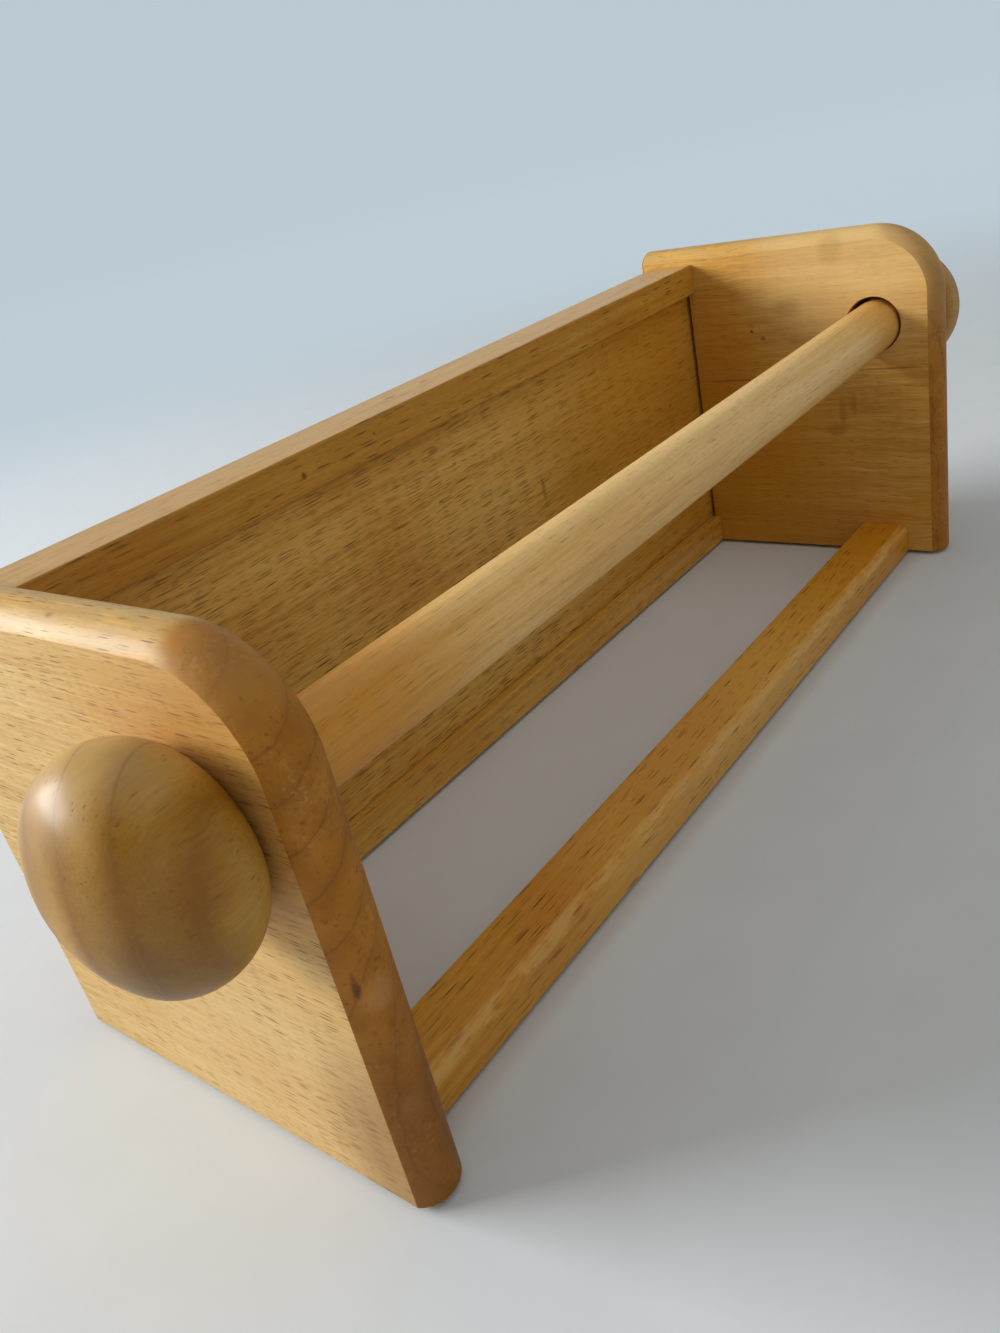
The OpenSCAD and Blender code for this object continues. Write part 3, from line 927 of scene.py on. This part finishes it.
def shapeBackRail(name, node, grooveUp):
    low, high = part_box(node)
    panelLow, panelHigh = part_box("back_panel")
    rail = startBlock(name, low, high)
    edit(rail)
    pick("EDGE", lambda edge: edgeAlong(edge, 0))
    ease(backRail["longEase"])
    pick("EDGE", lambda edge: edgeAt(0, low.x)(edge) or edgeAt(0, high.x)(edge))
    ease(backRail["endEase"], steps=2)
    endEdit()
    grooveLow = Vector((low.x - mm, panelLow.y - backRail["grooveSlack"], low.z - mm))
    grooveHigh = Vector((high.x + mm, panelHigh.y + backRail["groovePlay"], high.z + mm))
    if grooveUp:
        grooveLow.z = high.z - backRail["grooveDepth"]
    else:
        grooveHigh.z = low.z + backRail["grooveDepth"]
    cutAway(rail, startBlock("groove", grooveLow, grooveHigh))
    drillEnds(rail, node)
    return rail


topRail = shapeBackRail("topRailBoard", "top_rail", grooveUp=False)
dress(topRail, "top_rail", topRailWood)
bottomRail = shapeBackRail("bottomRailBoard", "bottom_rail", grooveUp=True)
dress(bottomRail, "bottom_rail", bottomRailWood)

frontRail = {
    "roundOver": 3.5 * mm,
    "longEase": 0.8 * mm,
    "endEase": 0.25 * mm,
}


def shapeFrontRail():
    low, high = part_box("front_rail")
    rail = startBlock("frontRailBoard", low, high)
    edit(rail)
    pick("EDGE", lambda edge: edgeAt(1, low.y)(edge) and edgeAt(2, high.z)(edge))
    ease(frontRail["roundOver"], steps=10)

    # the three long corners that aren't rounded over
    def isOtherCorner(edge):
        middle = (edge.verts[0].co + edge.verts[1].co) / 2
        behind = near(middle.y, high.y)
        below = near(middle.z, low.z)
        return edgeAlong(edge, 0) and ((behind and (below or near(middle.z, high.z))) or
                                       (below and near(middle.y, low.y)))
    pick("EDGE", isOtherCorner)
    ease(frontRail["longEase"])
    pick("EDGE", lambda edge: edgeAt(0, low.x)(edge) or edgeAt(0, high.x)(edge))
    ease(frontRail["endEase"], steps=2)
    endEdit()
    drillEnds(rail, "front_rail")
    return rail


dress(shapeFrontRail(), "front_rail", frontRailWood)
print("rails shaped")

backPanel = {"edgeEase": 0.5 * mm}


def shapeBackPanel():
    low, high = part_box("back_panel")
    board = startBlock("backPanelBoard", low, high)
    edit(board)
    ease(backPanel["edgeEase"])
    endEdit()
    return board


dress(shapeBackPanel(), "back_panel", panelWood)
print("back panel shaped")

rod = {
    "tenonDiameter": 12.0 * mm,
    "tenonLength": 14.0 * mm,
    "shoulderEase": 0.6 * mm,
    "tipEase": 1.0 * mm,
    "sides": 96,
}


def turnRod():
    shoulder = rodHigh.x - rod["tenonLength"]
    turned = startRound(
        "rollerRodTurned", "X", -shoulder, shoulder, rodAxis, rodRadius, rod["sides"])
    edit(turned)
    pick("FACE", lambda face: abs(face.normal.x) > aligned)
    bpy.ops.mesh.inset(thickness=rodRadius - rod["tenonDiameter"] / 2)
    # the round end faces, without the rings of four-sided faces about them
    for side in (-1, 1):
        pick("FACE", lambda face: face.normal.x * side > aligned and len(face.verts) > 4)
        pull(x=side * rod["tenonLength"])

    def atRing(place, radius):
        def onRing(point):
            out = math.hypot(point.co.y - rodAxis.y, point.co.z - rodAxis.z)
            return near(abs(point.co.x), place) and abs(out - radius) < 10 * hair
        return lambda edge: all(onRing(point) for point in edge.verts)
    pick("EDGE", atRing(shoulder, rodRadius))
    ease(rod["shoulderEase"])
    pick("EDGE", atRing(rodHigh.x, rod["tenonDiameter"] / 2))
    ease(rod["tipEase"])
    faceOutwards()
    endEdit()
    return turned


dress(turnRod(), "roller_rod", rodWood)

knob = {
    "rimRadius": 12.7 * mm,
    "rimHeight": 12.4 * mm,     # widest place above the base
    "domeSteps": 16,
    "rimSteps": 28,
    "turnSteps": 96,
    "socketDiameter": 12.1 * mm,
    "socketDepth": 14.5 * mm,
    "socketEase": 0.5 * mm,
}


def turnKnob():
    low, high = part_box("right_knob")
    radius = (high.z - low.z) / 2
    length = high.x - low.x
    y, z = rodAxis.y, rodAxis.z
    rimOut = radius - knob["rimRadius"]
    rise = length - knob["rimHeight"]
    # the dome is the arc that meets the rim smoothly
    rim = knob["rimRadius"]
    domeRadius = (rimOut ** 2 + rise ** 2 - rim ** 2) / (2 * (rise - rim))
    domeCentre = length - domeRadius
    join = math.atan2(knob["rimHeight"] - domeCentre, rimOut)
    under = math.asin(knob["rimHeight"] / rim)
    socket = knob["socketDiameter"] / 2
    footRadius = rimOut + rim * math.cos(under)

    # half outline from the nose over the rim to the foot, then into the socket
    turned = startPoint("rightKnobTurned", (high.x, y, z))
    bpy.ops.mesh.spin(steps=knob["domeSteps"], angle=join - math.pi / 2,
                      center=(low.x + domeCentre, y, z), axis=(0, 0, 1))
    bpy.ops.mesh.spin(steps=knob["rimSteps"], angle=-join - under,
                      center=(low.x + knob["rimHeight"], y + rimOut, z), axis=(0, 0, 1))
    pull(y=socket + knob["socketEase"] - footRadius)
    pull(x=knob["socketEase"], y=-knob["socketEase"])
    pull(x=knob["socketDepth"] - knob["socketEase"])
    pull(y=-socket)
    spinRound((low.x, y, z), (1, 0, 0), knob["turnSteps"])
    faceOutwards()
    endEdit()
    return turned


rightKnob = turnKnob()
leftKnob = copyMirrored(rightKnob, "leftKnobTurned")
dress(rightKnob, "right_knob", knobWood)
dress(leftKnob, "left_knob", knobWood)
print("rod and knobs turned")


# A countersunk screw's body, its head's face in the wall plane and its shank towards the front
def turnScrewBlank(name, place, gap=0.0):
    fit = keyholePlate
    head, shank = fit["screwHead"] / 2 + gap, fit["screwShank"] / 2 + gap
    x, y, z = place
    lift = mm if gap else 0.0  # a body with a gap is a cutter, and stands proud of the wall plane
    blank = startPoint(name, (x, y + lift, z))
    pull(x=head)
    if lift:
        pull(y=-lift)
    pull(x=shank - head, y=shank - head)
    pull(y=head - fit["screwLength"])
    pull(x=-shank * (1 - fit["tipFlat"]), y=-shank)
    pull(x=-shank * fit["tipFlat"])
    spinRound(place, (0, 1, 0), fit["screwSides"])
    faceOutwards()
    endEdit()
    return blank


def stampPlate():
    fit = keyholePlate
    plate = startRoundEnded("rightKeyholePlateStamped", plateSeat, plateWidth, plateHeight,
                            plateLow.y, plateHigh.y)
    entryHeight = plateMiddle.z - fit["rise"] / 2
    cutAway(plate, startRound("entry", "Y", plateLow.y - mm, plateHigh.y + mm,
                              (plateMiddle.x, 0, entryHeight), fit["entry"] / 2, fit["entrySides"]))
    cutAway(plate, startRoundEnded("neck", plateSeat, fit["neck"], fit["rise"] + fit["neck"],
                                   plateLow.y - mm, plateHigh.y + mm))
    for side in (-1, 1):
        place = (plateMiddle.x, plateHigh.y, plateMiddle.z + side * screwOffset)
        cutAway(plate, turnScrewBlank("sink", place, fit["screwPlay"]))
    edit(plate)
    pick("EDGE", lambda edge: edgeAt(1, plateLow.y)(edge) or edgeAt(1, plateHigh.y)(edge))
    ease(fit["edgeEase"], steps=2)
    endEdit()
    return plate


# One screw is cut and copied to the lower hole, then both are copied to the left plate
def cutScrews():
    fit = keyholePlate
    x, y, z = plateMiddle.x, plateHigh.y, plateMiddle.z + screwOffset
    screws = turnScrewBlank("plateScrewsCut", (x, y, z))
    cutAway(screws, startBlock(
        "slot", (x - fit["screwHead"], y - fit["slotDepth"], z - fit["slotWidth"] / 2),
        (x + fit["screwHead"], y + mm, z + fit["slotWidth"] / 2)))
    edit(screws)
    for step in ((0, 0, -2 * screwOffset), (-2 * x, 0, 0)):
        bpy.ops.mesh.select_all(action="SELECT")
        bpy.ops.mesh.duplicate_move(TRANSFORM_OT_translate={"value": step})
    endEdit()
    return screws


rightPlate = stampPlate()
leftPlate = copyMirrored(rightPlate, "leftKeyholePlateStamped")
dress(rightPlate, "right_keyhole_plate", zincSteel)
dress(leftPlate, "left_keyhole_plate", zincSteel)
dress(cutScrews(), "keyhole_plate_screws", zincSteel)
for node in ("top_rail_dowels", "bottom_rail_dowels", "front_rail_dowels"):
    frame["nodes"][node].data.materials.clear()
    frame["nodes"][node].data.materials.append(dowelWood)
print("plates, screws and dowels finished")

# A pale dish of paper under and round the object, so that every view has the same plain ground;
# large sizes are in metres
studio = {
    "floorDrop": 1.2 * mm,
    "floorReach": 2.8,
    "sweep": 0.8,
    "wall": 1.2,
    "sweepSteps": 16,
    "turnSteps": 96,
    "paper": tint(221, 229, 236),
    "paperRough": 0.9,
    "paperGloss": 0.2,
    "fleckScale": 40,
    "fleckShade": 0.97,
    "fleckTones": (0.3, 0.7),
    "haze": tint(187, 202, 210),  # far off the paper fades into a pale bluish ground
    "hazeFrom": 0.32,
    "hazeTo": 1.1,
}


def paperFinish():
    f = Finish("palePaper")
    place = f.place.outputs["Object"]
    fleck = f.noise(place, detail=3, scale=studio["fleckScale"]).outputs[0]
    fleckTint = tuple(studio["fleckShade"] * level for level in studio["paper"][:3]) + (1.0,)
    colour = f.ramp(fleck, studio["fleckTones"], (fleckTint, studio["paper"]))
    away = f.spread(f.reach("LENGTH", place), studio["hazeFrom"], studio["hazeTo"])
    rays = f.put("ShaderNodeLightPath", {}).outputs
    seen = f.calc("MAXIMUM", rays["Is Camera Ray"], rays["Is Glossy Ray"])
    seen = f.calc("MAXIMUM", seen, rays["Is Transmission Ray"])
    haze = f.calc("MULTIPLY", away, seen)
    f.fill(f.surface, {
        "Base Color": f.mix(haze, colour, (0.0, 0.0, 0.0, 1.0)), "Roughness": studio["paperRough"],
        "Specular IOR Level": studio["paperGloss"], "Emission Color": studio["haze"],
        "Emission Strength": haze})
    return f.material


def sweepPaper():
    bottom = cadLow.z - studio["floorDrop"]
    dish = startPoint("paperDish", (0, 0, bottom))
    pull(x=studio["floorReach"])
    bpy.ops.mesh.spin(steps=studio["sweepSteps"], angle=math.pi / 2, axis=(0, 1, 0),
                      center=(studio["floorReach"], 0, bottom + studio["sweep"]))
    pull(z=studio["wall"])
    spinRound((0, 0, bottom), (0, 0, 1), studio["turnSteps"], gap=hair)
    bpy.ops.mesh.normals_make_consistent(inside=True)
    endEdit()
    bpy.ops.object.shade_smooth()
    dish.data.materials.append(paperFinish())


sweepPaper()

# A wide low window behind on the left, and weak soft light from above and in front
lamps = {
    "window": {"azimuth": -32, "height": 22, "far": 2.0, "size": (1.2, 0.75), "power": 45,
               "colour": (1.0, 0.98, 0.96)},
    "ceiling": {"azimuth": 0, "height": 88, "far": 1.3, "size": (1.6, 1.6), "power": 5.2,
                "colour": (0.88, 0.95, 1.0)},
    "room": {"azimuth": 200, "height": 30, "far": 1.3, "size": (1.4, 1.0), "power": 1.8,
             "colour": (1.0, 0.83, 0.62)},
}
sky = {"colour": (1.0, 0.85, 0.66, 1.0), "strength": 0.18}


# Azimuth is measured from the wall side towards the right, height above the floor, in degrees
def hangLamp(name, lamp):
    azimuth, height = math.radians(lamp["azimuth"]), math.radians(lamp["height"])
    level = math.cos(height)
    way = Vector((math.sin(azimuth) * level, math.cos(azimuth) * level, math.sin(height)))
    bpy.ops.object.light_add(type="AREA", location=way * lamp["far"])
    light = bpy.context.object
    light.name = name + "Lamp"
    light.data.shape = "RECTANGLE"
    light.data.size, light.data.size_y = lamp["size"]
    light.data.energy = lamp["power"]
    light.data.color = lamp["colour"]
    light.rotation_euler = (-way).to_track_quat("-Z", "Y").to_euler()
    light.visible_camera = False


for lampName, lamp in lamps.items():
    hangLamp(lampName, lamp)
world = bpy.data.worlds.new("paleRoom")
world.use_nodes = True
scene.world = world
skyInputs = world.node_tree.nodes["Background"].inputs
skyInputs["Color"].default_value = sky["colour"]
skyInputs["Strength"].default_value = sky["strength"]
scene.view_settings.view_transform = "Standard"
print("studio lit")
